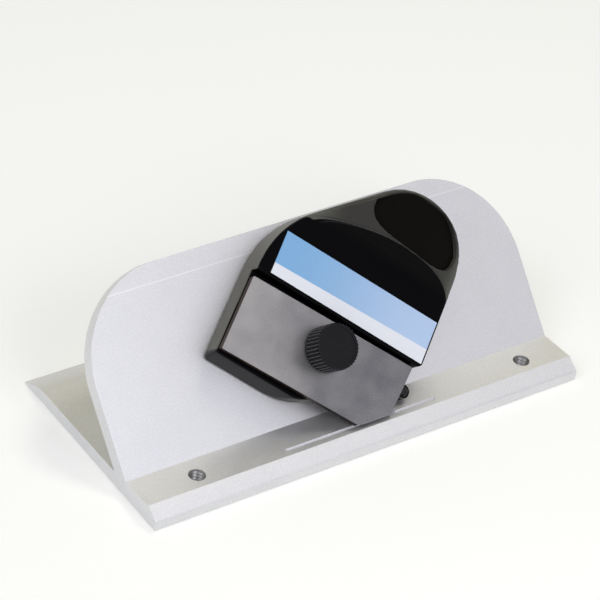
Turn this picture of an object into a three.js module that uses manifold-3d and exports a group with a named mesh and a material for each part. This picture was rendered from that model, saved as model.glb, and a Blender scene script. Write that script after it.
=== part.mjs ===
// Hand-held bevel cutter: an aluminium base with a leaning fin, and a swinging head that holds a blade.
// Millimetres. +X runs along the base, +Y towards the thin back edge and +Z up.
// The origin is under the base's middle.
import * as THREE from 'three';
import * as BufferGeometryUtils from 'three/addons/utils/BufferGeometryUtils.js';
import Module from 'manifold-3d';

const wasm = await Module();
wasm.setup();

// Fits
const restGap = 0.3; // between faces that rest on each other
const overrun = 2; // how far a cut runs past what it cuts
const roundSteps = 16; // half the sides of a full circle
const arcSteps = 7; // half the sides of a rounded corner

// Base plate and its front strip
const baseLength = 178;
const baseDepth = 81.3;
const frontEdgeHeight = 3.6;
const frontEdgeRound = 0.7;
const noseHeight = 6.7;
const noseRun = 5.2;
const stripBackHeight = 5.7;
const finSetback = 18.9; // from the front edge to the fin's front face
const plateHeight = 4.9;
const plateBackHeight = 4.3;
const backTipHeight = 0.2;
const backRampRun = 11.4;
const backRampCrownShare = 0.67;

// Fin
const finLean = THREE.MathUtils.degToRad(45);
const finHeight = 66.3; // up its front face
const finThickness = 5.2;
const finCornerRadius = 35.2;
const finRootDepth = 1.5; // how far the fin reaches down into the base plate
const finBandWidth = 7;
const finBandStep = 0.15;
const finBandFall = 0.45;

// Tapped holes in the strip
const tappedHoleRadius = 2.6;
const tappedHoleSetback = 11.1;
const leftHoleInset = 22.9;
const rightHoleInset = 17.3;
const tappedHoleChamfer = 0.4;

// Blade and its slot
const bladeThickness = 0.4;
const bladeWidth = 12.6;
const bladeLength = 50;
const bladeCornerCut = 1.6;
const bladePlane = 8.3; // from the fin's face to the blade's middle
const bladeFromPivotDown = 33;
const bladeProud = 1; // past the clamp plate's right edge
const bladeRetraction = 12;
const slotLength = 62.8;
const slotOffset = -0.9;

// Head, in a frame whose origin is the pivot and whose first axis runs down towards the blade's tip
const headRake = THREE.MathUtils.degToRad(44.3);
const pivotAlong = 24.5; // from the base's middle
const pivotRise = 22.2; // up the fin's face
const headGap = 0.6;
const headReachLeft = 56.5;
const headReachRight = 13.9;
const headReachDown = 44.6;
const headLeftFlare = 1.1; // how far the left side leans out at the bottom
const headBottomDraft = 1.3; // how far the bottom wall leans in at the seat
const headReachTop = 43.5; // square to the base's long edges
const heelReach = 17.2; // square to the base's long edges
const headBottomCorner = 1.6;
const headHeelRadius = 29;
const headHeelCorner = 0.6;
const headLobeRadius = 22.4;
const headShoulderRadius = 38;
const headWall = 2.2;
const seatWidth = 32.9;
const blockHeight = 12.5; // the label block's face above the fin
const blockWidth = 23.3;
const humpHeight = 18.5;
const humpCrestRadius = 58.1;
const humpCrestInset = 26.1;
const humpSlope = 0.232;
const humpEdgeRound = 6;
const humpEdgeSteps = 6;
const scoopRadius = 9.5;
const ribWidth = 1.6;
const bossWall = 3;

// Thumb dish
const dishLength = 37.3;
const dishWidth = 19.5;
const dishDepth = 2.4;
const dishRim = 1.9; // least wall between the dish and the head's sides
const dishInset = 22.4; // from the head's right side to the dish's middle
const dishRise = 31; // from the pivot to the dish's middle
const dishTurn = THREE.MathUtils.degToRad(-3.4);
const dishPower = 3.2;
const dishSteps = 40;
const thumbPadThickness = 0.6;

// Label
const labelLength = 64.9;
const labelWidth = 16.2;
const labelThickness = 0.3;
const labelPocketDepth = 0.4;
const labelMarginBelow = 1.2;
const labelMarginRight = 0.9;

// Clamp plate
const clampPlateThickness = 2.4;
const clampPlateLength = 67.7;
const clampPlateWidth = 28;
const clampPlateInset = 0.2; // from the head's left side
const clampPlateSkew = THREE.MathUtils.degToRad(1.2);
const clampPlateTopGap = 1.7;
const clampPlateLeftSlant = 1.2; // how far each end leans over the plate's width
const clampPlateRightSlant = 2.4;
const clampPlateCorner = 0.5;
const clampTipClearance = 0.6;

// Clamp knob, stud and insert
const knobFromPivotAlong = 21.9;
const knobFromPivotDown = 23.6;
const knobRadius = 8.1;
const knobHeight = 8.3;
const knobChamfer = 0.35;
const knurlCount = 38;
const knurlDepth = 0.55;
const knobUndercutRadius = 6.4;
const knobUndercutHeight = 0.3;
const studRadius = 2.4;
const studInKnob = 6;
const studInHead = 6.4;
const insertWall = 1.2;
const clampInsertDepth = 6.2;

// Pivot
const shoulderRadius = 3.2;
const bushingWall = 1.5;
const bushingFlange = 1.5;
const bushingFlangeThickness = 0.8;
const frictionWasherRadius = 9;
const frictionWasherThickness = 0.9;
const waveWasherThickness = 0.6;
const backWasherThickness = 1;
const backWasherRadius = 6.6;
const pivotHeadRadius = 5.2;
const pivotHeadHeight = 3;
const pivotSocketWidth = 4;
const pivotSocketDepth = 1.8;
const pivotThreadRadius = 2.4;
const pivotThreadLength = 6.4;
const pivotInsertDepth = 6.8;

// Glide pads
const glidePadRadius = 2.4;
const glidePadThickness = 1.4;
const glidePadInset = 6.2;

// Heel stop
const stopRingRadius = 2.6;
const stopRingHeight = 1.1;
const stopRingPlane = 5.2;
const stopFromPivot = 12.65;
const stopScrewRadius = 1.25;
const stopScrewHeadRadius = 2.2;
const stopScrewHeadHeight = 0.5;
const stopArmThickness = 2;

const finishes = {
  anodised: new THREE.MeshStandardMaterial({ color: 0xc9c9cb, roughness: 0.5, metalness: 0.85 }),
  mouldedBlack: new THREE.MeshStandardMaterial({ color: 0x1b1b1a, roughness: 0.35, metalness: 0 }),
  thumbPad: new THREE.MeshStandardMaterial({ color: 0x1d1915, roughness: 0.8, metalness: 0 }),
  label: new THREE.MeshStandardMaterial({ color: 0x9fc6e8, roughness: 0.3, metalness: 0 }),
  plateSteel: new THREE.MeshStandardMaterial({ color: 0x7d787a, roughness: 0.4, metalness: 0.9 }),
  bladeSteel: new THREE.MeshStandardMaterial({ color: 0xa9abad, roughness: 0.25, metalness: 1 }),
  blackOxide: new THREE.MeshStandardMaterial({ color: 0x26262a, roughness: 0.4, metalness: 0.7 }),
  zincSteel: new THREE.MeshStandardMaterial({ color: 0xb4b4b2, roughness: 0.35, metalness: 1 }),
  brass: new THREE.MeshStandardMaterial({ color: 0xb59a55, roughness: 0.35, metalness: 1 }),
  nylon: new THREE.MeshStandardMaterial({ color: 0xe4e1d6, roughness: 0.6, metalness: 0 }),
  rubber: new THREE.MeshStandardMaterial({ color: 0x161616, roughness: 0.75, metalness: 0 }),
};

// Places that follow from the sizes above
const stripRise = (noseHeight - stripBackHeight) / (finSetback - noseRun);
const seatPlane = bladePlane + bladeThickness / 2;
const channelPlane = bladePlane - bladeThickness / 2 - restGap;
const clampPlatePlane = seatPlane + restGap;
const clampPlateFace = clampPlatePlane + clampPlateThickness;
const seatTop = seatWidth - headReachDown;
const crease = seatTop + blockWidth;
const scoopTop = crease + scoopRadius;
const bladeEnd = clampPlateInset + clampPlateLength - headReachLeft + bladeProud;
const humpCrest = headReachRight - humpCrestInset;
const knobPlane = clampPlateFace + restGap;
const shoulderHole = shoulderRadius + restGap;
const bushingRadius = shoulderHole + bushingWall;
const bossPlane = restGap + frictionWasherThickness + restGap;

// How high up the fin's face the strip lies, at a distance from that face
function stripLevel(fromFin) {
  const lean = Math.tan(finLean);
  return -fromFin * (1 / lean - stripRise) / (1 + stripRise / lean);
}

// How far across the head a line at a height up the fin's face lies
function acrossAtLevel(along, level) {
  return (level - pivotRise + along * Math.sin(headRake)) / Math.cos(headRake);
}

function toSolid(geometry) {
  const bare = geometry.clone();
  bare.deleteAttribute('normal');
  bare.deleteAttribute('uv');
  const merged = BufferGeometryUtils.mergeVertices(bare);
  const vertProperties = merged.attributes.position.array;
  const triVerts = Uint32Array.from(merged.index.array);
  return new wasm.Manifold(new wasm.Mesh({ numProp: 3, vertProperties, triVerts }));
}

function toGeometry(solid) {
  const mesh = solid.getMesh();
  const geometry = new THREE.BufferGeometry();
  geometry.setAttribute('position', new THREE.BufferAttribute(mesh.vertProperties, mesh.numProp));
  geometry.setIndex(new THREE.BufferAttribute(mesh.triVerts, 1));
  geometry.computeVertexNormals();
  return geometry;
}

// A closed outline with rounded corners, each corner an [x, y, radius]
function roundedShape(corners) {
  const shape = new THREE.Shape();
  corners.forEach(([x, y, radius], index) => {
    const corner = new THREE.Vector2(x, y);
    const [beforeX, beforeY] = corners.at(index - 1);
    const [afterX, afterY] = corners[(index + 1) % corners.length];
    const back = new THREE.Vector2(beforeX, beforeY).sub(corner).normalize();
    const ahead = new THREE.Vector2(afterX, afterY).sub(corner).normalize();
    const halfAngle = Math.acos(back.dot(ahead)) / 2;
    const start = corner.clone().addScaledVector(back, radius / Math.tan(halfAngle));
    if (index === 0) shape.moveTo(start.x, start.y);
    else shape.lineTo(start.x, start.y);
    if (radius === 0) return;
    const end = corner.clone().addScaledVector(ahead, radius / Math.tan(halfAngle));
    const inward = back.clone().add(ahead).normalize();
    const centre = corner.clone().addScaledVector(inward, radius / Math.sin(halfAngle));
    const from = start.sub(centre).angle();
    const to = end.sub(centre).angle();
    shape.absarc(centre.x, centre.y, radius, from, to, back.cross(ahead) > 0);
  });
  return shape;
}

function circleShape(radius) {
  const shape = new THREE.Shape();
  shape.absarc(0, 0, radius, 0, Math.PI * 2);
  return shape;
}

// Extrudes along +Z from low to high
function extrudeUp(shape, low, high, curveSegments = arcSteps) {
  const options = { depth: high - low, bevelEnabled: false, curveSegments };
  return new THREE.ExtrudeGeometry(shape, options).translate(0, 0, low);
}

// Extrudes an outline drawn in the Y and Z directions along +X from low to high
function extrudeAlongX(shape, low, high) {
  const turn = new THREE.Matrix4().makeBasis(
    new THREE.Vector3(0, 1, 0), new THREE.Vector3(0, 0, 1), new THREE.Vector3(1, 0, 0));
  return extrudeUp(shape, low, high).applyMatrix4(turn);
}

// Extrudes an outline drawn in the X and Z directions along Y from low to high
function extrudeAlongY(shape, low, high) {
  const turn = new THREE.Matrix4().makeBasis(
    new THREE.Vector3(1, 0, 0), new THREE.Vector3(0, 0, 1), new THREE.Vector3(0, -1, 0));
  return extrudeUp(shape, -high, -low).applyMatrix4(turn);
}

function box(lowX, highX, lowY, highY, lowZ, highZ) {
  const geometry = new THREE.BoxGeometry(highX - lowX, highY - lowY, highZ - lowZ);
  return geometry.translate((lowX + highX) / 2, (lowY + highY) / 2, (lowZ + highZ) / 2);
}

function rod(radius, low, high) {
  return extrudeUp(circleShape(radius), low, high, roundSteps);
}

function ring(outerRadius, innerRadius, low, high) {
  const shape = circleShape(outerRadius);
  shape.holes.push(circleShape(innerRadius));
  return extrudeUp(shape, low, high, roundSteps);
}

// Turns a profile of [radius, height] points about +Z
function turned(profile, steps = 2 * roundSteps) {
  const points = profile.map(([radius, height]) => new THREE.Vector2(radius, height));
  return new THREE.LatheGeometry(points, steps).rotateX(Math.PI / 2);
}

const pieces = new THREE.Group();
const finFrame = new THREE.Group();
finFrame.position.set(0, finSetback - baseDepth / 2, stripBackHeight);
finFrame.rotation.x = finLean;
finFrame.updateMatrix();
const headFrame = new THREE.Group();
headFrame.position.set(pivotAlong, pivotRise, 0);
headFrame.rotation.z = -headRake;
const knobFrame = new THREE.Group();
knobFrame.position.set(-knobFromPivotAlong, -knobFromPivotDown, 0);
pieces.add(finFrame);
finFrame.add(headFrame);
headFrame.add(knobFrame);

function place(name, geometry, finish, frame) {
  const mesh = new THREE.Mesh(geometry, finish);
  mesh.name = name;
  frame.add(mesh);
}

// Base extrusion, in the base's own frame
function basePlate() {
  const rampStart = baseDepth - backRampRun;
  const rampCrown = baseDepth - backRampRun * backRampCrownShare;
  const finBack = finSetback + finThickness / Math.cos(finLean);
  const shape = new THREE.Shape();
  shape.moveTo(0, 0);
  shape.lineTo(baseDepth, 0);
  shape.lineTo(baseDepth, backTipHeight);
  shape.quadraticCurveTo(rampCrown, plateBackHeight, rampStart, plateBackHeight);
  shape.lineTo(finBack, plateHeight);
  shape.lineTo(finSetback, stripBackHeight);
  shape.lineTo(noseRun, noseHeight);
  shape.lineTo(frontEdgeRound, frontEdgeHeight + frontEdgeRound * (noseHeight - frontEdgeHeight) / noseRun);
  shape.quadraticCurveTo(0, frontEdgeHeight, 0, frontEdgeHeight - frontEdgeRound);
  shape.closePath();
  const plate = extrudeAlongX(shape, -baseLength / 2, baseLength / 2).translate(0, -baseDepth / 2, 0);
  return toSolid(plate);
}

function fin() {
  const end = baseLength / 2;
  const shape = roundedShape([
    [-end, -finRootDepth, 0],
    [end, -finRootDepth, 0],
    [end, finHeight, finCornerRadius],
    [-end, finHeight, finCornerRadius],
  ]);
  const slab = toSolid(extrudeUp(shape, -finThickness, 0, roundSteps));
  const band = new THREE.Shape();
  band.moveTo(finHeight - finBandWidth, overrun);
  band.lineTo(finHeight - finBandWidth, -finBandStep);
  band.lineTo(finHeight, -finBandFall);
  band.lineTo(finHeight + overrun, -finBandFall);
  band.lineTo(finHeight + overrun, overrun);
  band.closePath();
  const banded = slab.subtract(toSolid(extrudeAlongX(band, -end - overrun, end + overrun)));
  return banded.transform(finFrame.matrix.elements);
}

function bladeSlot() {
  const half = bladeThickness / 2 + restGap;
  const low = slotOffset - slotLength / 2;
  const mouth = stripLevel(bladePlane);
  const cut = box(
    low, low + slotLength, mouth - baseDepth, mouth + overrun, bladePlane - half, bladePlane + half);
  return toSolid(cut).transform(finFrame.matrix.elements);
}

function tappedHole(along) {
  const wide = tappedHoleRadius + tappedHoleChamfer + overrun;
  const mouth = stripBackHeight + stripRise * (finSetback - tappedHoleSetback);
  const cut = turned([
    [0, -overrun],
    [tappedHoleRadius, -overrun],
    [tappedHoleRadius, mouth - tappedHoleChamfer],
    [wide, mouth + overrun],
    [0, mouth + overrun],
  ]);
  return toSolid(cut.translate(along, tappedHoleSetback - baseDepth / 2, 0));
}

function pivotHole() {
  const cut = rod(bushingRadius + restGap, -finThickness - overrun, overrun);
  return toSolid(cut.translate(pivotAlong, pivotRise, 0)).transform(finFrame.matrix.elements);
}

function baseExtrusion() {
  const holes = [leftHoleInset - baseLength / 2, baseLength / 2 - rightHoleInset].map(tappedHole);
  let solid = basePlate().add(fin()).subtract(bladeSlot()).subtract(pivotHole());
  for (const hole of holes) solid = solid.subtract(hole);
  return toGeometry(solid);
}

// Head outline, drawn in by inset: a block with a base-parallel heel, a round lobe and a long sloping top
function headCorners(inset) {
  const left = inset - headReachLeft;
  const right = headReachRight - inset;
  const bottom = inset - headReachDown;
  const heelLevel = pivotRise - heelReach + inset;
  const topLevel = pivotRise + headReachTop - inset;
  const heelStart = (bottom * Math.cos(headRake) + pivotRise - heelLevel) / Math.sin(headRake);
  return [
    [left - headLeftFlare, bottom, Math.max(headBottomCorner - inset, restGap)],
    [heelStart, bottom, headHeelRadius - inset],
    [right, acrossAtLevel(right, heelLevel), Math.max(headHeelCorner - inset, restGap)],
    [right, acrossAtLevel(right, topLevel), headLobeRadius - inset],
    [left, acrossAtLevel(left, topLevel), headShoulderRadius - inset],
  ];
}

// The hump's ramp and round crest, lowered by drop
function humpRoof(drop) {
  const crestTop = humpHeight - drop;
  const rampAngle = Math.atan(humpSlope);
  const rampTop = crestTop - humpCrestRadius * (1 - Math.cos(rampAngle));
  const rampEnd = humpCrest - humpCrestRadius * Math.sin(rampAngle);
  const rampFoot = rampEnd - (rampTop - blockHeight + drop) / humpSlope;
  const crestReach = Math.asin((headReachRight + overrun - humpCrest) / humpCrestRadius);
  const profile = new THREE.Shape();
  profile.moveTo(-headReachLeft - overrun, -overrun);
  profile.lineTo(headReachRight + overrun, -overrun);
  profile.absarc(humpCrest, crestTop - humpCrestRadius, humpCrestRadius,
    Math.PI / 2 - crestReach, Math.PI / 2 + rampAngle);
  profile.lineTo(rampFoot, blockHeight - drop);
  profile.lineTo(-headReachLeft - overrun, blockHeight - drop);
  profile.closePath();
  const reach = headReachLeft + headReachDown + headReachTop;
  return toSolid(extrudeAlongY(profile, -reach, reach));
}

// Everything that the finger scoop takes away above the label block, grown by a wall's thickness
function fingerScoop(growth) {
  const low = blockHeight - growth;
  const high = humpHeight + scoopRadius;
  const profile = new THREE.Shape();
  profile.moveTo(-headReachDown - overrun, low);
  profile.lineTo(crease, low);
  profile.absarc(crease, blockHeight + scoopRadius, scoopRadius + growth, -Math.PI / 2, 0);
  profile.lineTo(scoopTop + growth, high);
  profile.lineTo(-headReachDown - overrun, high);
  profile.closePath();
  return toSolid(extrudeAlongX(profile, -headReachLeft - overrun, headReachRight + overrun));
}

// The dish outline is a superellipse, drawn in by inset
function dishShape(inset) {
  const shape = new THREE.Shape();
  for (let step = 0; step < dishSteps; step += 1) {
    const angle = Math.PI * 2 * step / dishSteps;
    const across = Math.cos(angle);
    const up = Math.sin(angle);
    const x = Math.sign(across) * Math.abs(across) ** (2 / dishPower) * (dishLength / 2 - inset);
    const y = Math.sign(up) * Math.abs(up) ** (2 / dishPower) * (dishWidth / 2 - inset);
    if (step === 0) shape.moveTo(x, y);
    else shape.lineTo(x, y);
  }
  shape.closePath();
  return shape;
}

// The dish stays a rim's width inside the head's outline
function dishColumn(inset) {
  const rim = extrudeUp(roundedShape(headCorners(dishRim + inset)), -overrun, humpHeight + overrun);
  const oval = extrudeUp(dishShape(inset), -overrun, humpHeight + overrun);
  oval.rotateZ(dishTurn).translate(headReachRight - dishInset, dishRise, 0);
  return toSolid(oval).intersect(toSolid(rim));
}

// The hump's upper edge is round over its height at most, and its sides start inside the block below it
function humpBlock() {
  const round = Math.min(humpEdgeRound, humpHeight - blockHeight);
  const smallest = round + headHeelCorner;
  const soft = headCorners(0).map(([x, y, radius]) => [x, y, Math.max(radius, smallest)]);
  const low = blockHeight - overrun;
  const options = {
    depth: humpHeight - round - low,
    bevelThickness: round,
    bevelSize: round,
    bevelOffset: -round,
    bevelSegments: humpEdgeSteps,
    curveSegments: arcSteps,
  };
  return toSolid(new THREE.ExtrudeGeometry(roundedShape(soft), options).translate(0, 0, low));
}

function headOuter() {
  const block = toSolid(extrudeUp(roundedShape(headCorners(0)), headGap, blockHeight));
  return block.add(humpBlock()).intersect(humpRoof(0)).subtract(fingerScoop(0));
}

// The bottom wall leans in from its back edge to the seat
function headDraftCut() {
  const out = -headReachDown - overrun;
  const profile = new THREE.Shape();
  profile.moveTo(out, 0);
  profile.lineTo(-headReachDown, headGap);
  profile.lineTo(headBottomDraft - headReachDown, seatPlane);
  profile.lineTo(headBottomDraft - headReachDown, humpHeight);
  profile.lineTo(out, humpHeight);
  profile.closePath();
  return toSolid(extrudeAlongX(profile, -headReachLeft - headReachDown, headReachRight + overrun));
}

function headSeatCut() {
  const left = -headReachLeft - headLeftFlare - overrun;
  const right = headReachRight + overrun;
  const seat = box(left, right, -headReachDown - overrun, seatTop, seatPlane, humpHeight);
  const channelLeft = bladeEnd - bladeLength - bladeRetraction - restGap;
  const half = bladeWidth / 2 + restGap;
  const channel = box(
    channelLeft, right, -bladeFromPivotDown - half, half - bladeFromPivotDown, channelPlane, humpHeight);
  return toSolid(seat).add(toSolid(channel));
}

function glidePadPlaces() {
  const low = glidePadInset - headReachDown;
  const left = glidePadInset - headReachLeft;
  const lobeRight = headReachRight - headLobeRadius;
  const lobeUp = acrossAtLevel(lobeRight, pivotRise + headReachTop - headLobeRadius);
  return [
    [left, low],
    [left, acrossAtLevel(left, pivotRise + headReachTop - 2 * glidePadInset)],
    [lobeRight, lobeUp + headLobeRadius - glidePadInset],
  ];
}

// The hollow under the head keeps the walls' thickness, and leaves bosses and ribs standing
function headHollow() {
  const inside = toSolid(extrudeUp(roundedShape(headCorners(headWall)), -overrun, humpHeight));
  const seatFloor = channelPlane - headWall;
  const seatSlab = box(-baseLength, baseLength, -baseLength, seatTop + headWall, seatFloor, humpHeight);
  const ribAlong = humpCrest - knobFromPivotAlong;
  const padBosses = glidePadPlaces().map(([x, y]) =>
    rod(glidePadRadius + bossWall, headGap, humpHeight).translate(x, y, 0));
  const standing = [
    seatSlab,
    rod(bushingRadius + bossWall, bossPlane, humpHeight),
    rod(studRadius + restGap + insertWall + bossWall, headGap, humpHeight)
      .translate(-knobFromPivotAlong, -knobFromPivotDown, 0),
    box(-baseLength, baseLength, crease - ribWidth, crease, bossPlane, humpHeight),
    box(ribAlong, ribAlong + ribWidth, -baseLength, baseLength, bossPlane, humpHeight),
    ...padBosses,
  ];
  let hollow = inside.intersect(humpRoof(dishDepth + headWall)).subtract(fingerScoop(headWall));
  for (const piece of standing) hollow = hollow.subtract(toSolid(piece));
  return hollow;
}

function stopPlace() {
  const level = stripLevel(stopRingPlane) + stopRingRadius + restGap / Math.sin(finLean);
  return [stopFromPivot, acrossAtLevel(stopFromPivot, level)];
}

// The arm that carries the heel stop reaches out of the head's heel behind the clamp plate
function stopArm() {
  const [x, y] = stopPlace();
  const low = seatPlane - stopArmThickness;
  const length = headReachRight - headHeelCorner;
  const bar = box(x - length, x, y - stopRingRadius, y + stopRingRadius, low, seatPlane);
  return toSolid(bar).add(toSolid(rod(stopRingRadius, low, seatPlane).translate(x, y, 0)));
}

function headShell() {
  const [stopX, stopY] = stopPlace();
  const dish = dishColumn(0).subtract(humpRoof(dishDepth));
  const insertHole = studRadius + restGap + insertWall + restGap;
  const pivotInsertRadius = pivotThreadRadius + restGap + insertWall + restGap;
  const labelRight = headReachRight - labelMarginRight + restGap;
  const labelLeft = labelRight - labelLength - 2 * restGap;
  const labelLow = seatTop + labelMarginBelow - restGap;
  const labelHigh = labelLow + labelWidth + 2 * restGap;
  const cuts = [
    rod(insertHole, -overrun, seatPlane + overrun).translate(-knobFromPivotAlong, -knobFromPivotDown, 0),
    rod(pivotInsertRadius, -overrun, bossPlane + pivotInsertDepth + restGap),
    rod(frictionWasherRadius + restGap, -overrun, bossPlane),
    box(labelLeft, labelRight, labelLow, labelHigh, blockHeight - labelPocketDepth, humpHeight),
    rod(stopScrewRadius + restGap, -overrun, seatPlane + overrun).translate(stopX, stopY, 0),
    ...glidePadPlaces().map(([x, y]) =>
      rod(glidePadRadius + restGap, -overrun, 2 * restGap + glidePadThickness).translate(x, y, 0)),
  ];
  let solid = headOuter().subtract(headDraftCut()).subtract(headSeatCut());
  solid = solid.subtract(headHollow()).subtract(dish).add(stopArm());
  for (const cut of cuts) solid = solid.subtract(toSolid(cut));
  return toGeometry(solid);
}

function thumbPad() {
  const top = humpRoof(dishDepth - restGap - thumbPadThickness);
  return toGeometry(dishColumn(restGap).intersect(top).subtract(humpRoof(dishDepth - restGap)));
}

function label() {
  const right = headReachRight - labelMarginRight;
  const low = seatTop + labelMarginBelow;
  const bottom = blockHeight - labelPocketDepth + restGap;
  return box(right - labelLength, right, low, low + labelWidth, bottom, bottom + labelThickness);
}

// The clamp plate's lower corner is cut parallel to the strip, just above it
function clampPlate() {
  const left = clampPlateInset - headReachLeft;
  const right = left + clampPlateLength;
  const high = seatTop - clampPlateTopGap;
  const low = high - clampPlateWidth;
  const turn = new THREE.Matrix4().makeRotationZ(clampPlateSkew);
  const shape = roundedShape([
    [left - clampPlateLeftSlant, low, clampPlateCorner],
    [right - clampPlateRightSlant, low, clampPlateCorner],
    [right, high, clampPlateCorner],
    [left, high, clampPlateCorner],
  ]);
  const slab = extrudeUp(shape, clampPlatePlane, clampPlateFace)
    .translate(knobFromPivotAlong, knobFromPivotDown, 0)
    .applyMatrix4(turn)
    .translate(-knobFromPivotAlong, -knobFromPivotDown, 0);
  const tipLevel = stripLevel(clampPlatePlane) + clampTipClearance - pivotRise;
  const under = box(-baseLength, baseLength, tipLevel - baseLength, tipLevel, 0, humpHeight);
  const hole = rod(studRadius + restGap, 0, humpHeight);
  hole.translate(-knobFromPivotAlong, -knobFromPivotDown, 0);
  return toGeometry(toSolid(slab).subtract(toSolid(under.rotateZ(headRake))).subtract(toSolid(hole)));
}

function blade() {
  const low = -bladeFromPivotDown - bladeWidth / 2;
  const high = low + bladeWidth;
  const shape = roundedShape([
    [bladeEnd - bladeLength, low, 0],
    [bladeEnd, low, 0],
    [bladeEnd, high - bladeCornerCut, 0],
    [bladeEnd - bladeCornerCut, high, 0],
    [bladeEnd - bladeLength, high, 0],
  ]);
  return extrudeUp(shape, bladePlane - bladeThickness / 2, bladePlane + bladeThickness / 2);
}

function knurlOutline() {
  const shape = new THREE.Shape();
  for (let tooth = 0; tooth < knurlCount; tooth += 1) {
    const valley = Math.PI * 2 * tooth / knurlCount;
    const peak = Math.PI * 2 * (tooth + 1 / 2) / knurlCount;
    const inner = knobRadius - knurlDepth;
    if (tooth === 0) shape.moveTo(inner, 0);
    else shape.lineTo(inner * Math.cos(valley), inner * Math.sin(valley));
    shape.lineTo(knobRadius * Math.cos(peak), knobRadius * Math.sin(peak));
  }
  shape.closePath();
  return shape;
}

// The knob's blank is wider than the knurl, so that the knurl alone makes the tips
function clampKnob() {
  const foot = knobPlane + knobUndercutHeight;
  const top = knobPlane + knobHeight;
  const rim = knobRadius - knobChamfer;
  const blank = turned([
    [0, knobPlane],
    [knobUndercutRadius, knobPlane],
    [knobUndercutRadius, foot],
    [knobRadius + restGap, foot],
    [knobRadius + restGap, top - knobChamfer - restGap],
    [rim, top],
    [0, top],
  ]);
  const knurls = toSolid(extrudeUp(knurlOutline(), knobPlane - overrun, top + overrun));
  const bore = toSolid(rod(studRadius + restGap, knobPlane - overrun, knobPlane + studInKnob + restGap));
  return toGeometry(toSolid(blank).intersect(knurls).subtract(bore));
}

function clampStud() {
  return rod(studRadius, knobPlane - studInHead - clampPlateThickness, knobPlane + studInKnob);
}

function clampInsert() {
  const high = channelPlane - restGap;
  return ring(studRadius + restGap + insertWall, studRadius + restGap, high - clampInsertDepth, high);
}

function pivotScrew() {
  const washers = bushingFlangeThickness + waveWasherThickness + backWasherThickness;
  const washerPlane = -finThickness - washers - 4 * restGap;
  const headLow = washerPlane - pivotHeadHeight;
  const shoulderTop = bossPlane;
  const body = turned([
    [0, headLow],
    [pivotHeadRadius - restGap, headLow],
    [pivotHeadRadius, headLow + restGap],
    [pivotHeadRadius, washerPlane],
    [shoulderRadius, washerPlane],
    [shoulderRadius, shoulderTop - restGap],
    [pivotThreadRadius, shoulderTop - restGap],
    [pivotThreadRadius, shoulderTop + pivotThreadLength],
    [0, shoulderTop + pivotThreadLength],
  ]);
  const socketTurn = Math.PI / 3;
  const socket = turned([
    [0, headLow - overrun],
    [pivotSocketWidth / 2 / Math.cos(socketTurn / 2), headLow - overrun],
    [pivotSocketWidth / 2 / Math.cos(socketTurn / 2), headLow + pivotSocketDepth],
    [0, headLow + pivotSocketDepth],
  ], Math.round(2 * Math.PI / socketTurn));
  return toGeometry(toSolid(body).subtract(toSolid(socket)));
}

function pivotStackRings() {
  const flangeHigh = -finThickness - restGap;
  const flangeLow = flangeHigh - bushingFlangeThickness;
  const waveLow = flangeLow - restGap - waveWasherThickness;
  const washerLow = waveLow - restGap - backWasherThickness;
  const sleeve = toSolid(ring(bushingRadius, shoulderHole, flangeLow, -restGap));
  const flange = toSolid(ring(bushingRadius + bushingFlange, shoulderHole, flangeLow, flangeHigh));
  return {
    bushing: toGeometry(sleeve.add(flange)),
    waveWasher: ring(backWasherRadius - restGap, shoulderHole, waveLow, waveLow + waveWasherThickness),
    backWasher: ring(backWasherRadius, shoulderHole, washerLow, washerLow + backWasherThickness),
    frictionWasher: ring(frictionWasherRadius, shoulderHole, restGap, restGap + frictionWasherThickness),
  };
}

function pivotInsert() {
  const inner = pivotThreadRadius + restGap;
  return ring(inner + insertWall, inner, bossPlane, bossPlane + pivotInsertDepth);
}

function stopRing() {
  const [x, y] = stopPlace();
  const inner = stopScrewRadius + restGap;
  return ring(stopRingRadius, inner, stopRingPlane, stopRingPlane + stopRingHeight).translate(x, y, 0);
}

function stopScrew() {
  const [x, y] = stopPlace();
  const headHigh = stopRingPlane - restGap;
  const headLow = headHigh - stopScrewHeadHeight;
  const screw = turned([
    [0, headLow],
    [stopScrewHeadRadius, headLow],
    [stopScrewHeadRadius, headHigh],
    [stopScrewRadius, headHigh],
    [stopScrewRadius, seatPlane - restGap],
    [0, seatPlane - restGap],
  ]);
  return screw.translate(x, y, 0);
}

function glidePad(x, y) {
  return rod(glidePadRadius, restGap, restGap + glidePadThickness).translate(x, y, 0);
}

const pivotRings = pivotStackRings();
place('base_extrusion', baseExtrusion(), finishes.anodised, pieces);
place('pivot_bushing', pivotRings.bushing, finishes.brass, headFrame);
place('wave_washer', pivotRings.waveWasher, finishes.zincSteel, headFrame);
place('pivot_washer', pivotRings.backWasher, finishes.zincSteel, headFrame);
place('friction_washer', pivotRings.frictionWasher, finishes.nylon, headFrame);
place('pivot_screw', pivotScrew(), finishes.blackOxide, headFrame);
place('pivot_insert', pivotInsert(), finishes.brass, headFrame);
place('head_shell', headShell(), finishes.mouldedBlack, headFrame);
place('thumb_pad', thumbPad(), finishes.thumbPad, headFrame);
place('label', label(), finishes.label, headFrame);
glidePadPlaces().forEach(([x, y], index) => {
  place(`glide_pad_${index + 1}`, glidePad(x, y), finishes.nylon, headFrame);
});
place('heel_stop_ring', stopRing(), finishes.rubber, headFrame);
place('heel_stop_screw', stopScrew(), finishes.blackOxide, headFrame);
place('blade', blade(), finishes.bladeSteel, headFrame);
place('clamp_plate', clampPlate(), finishes.plateSteel, headFrame);
place('clamp_insert', clampInsert(), finishes.brass, knobFrame);
place('clamp_stud', clampStud(), finishes.zincSteel, knobFrame);
place('clamp_knob', clampKnob(), finishes.blackOxide, knobFrame);

export default pieces;
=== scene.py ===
"""Looks of a hand-held bevel cutter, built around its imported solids."""

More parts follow.
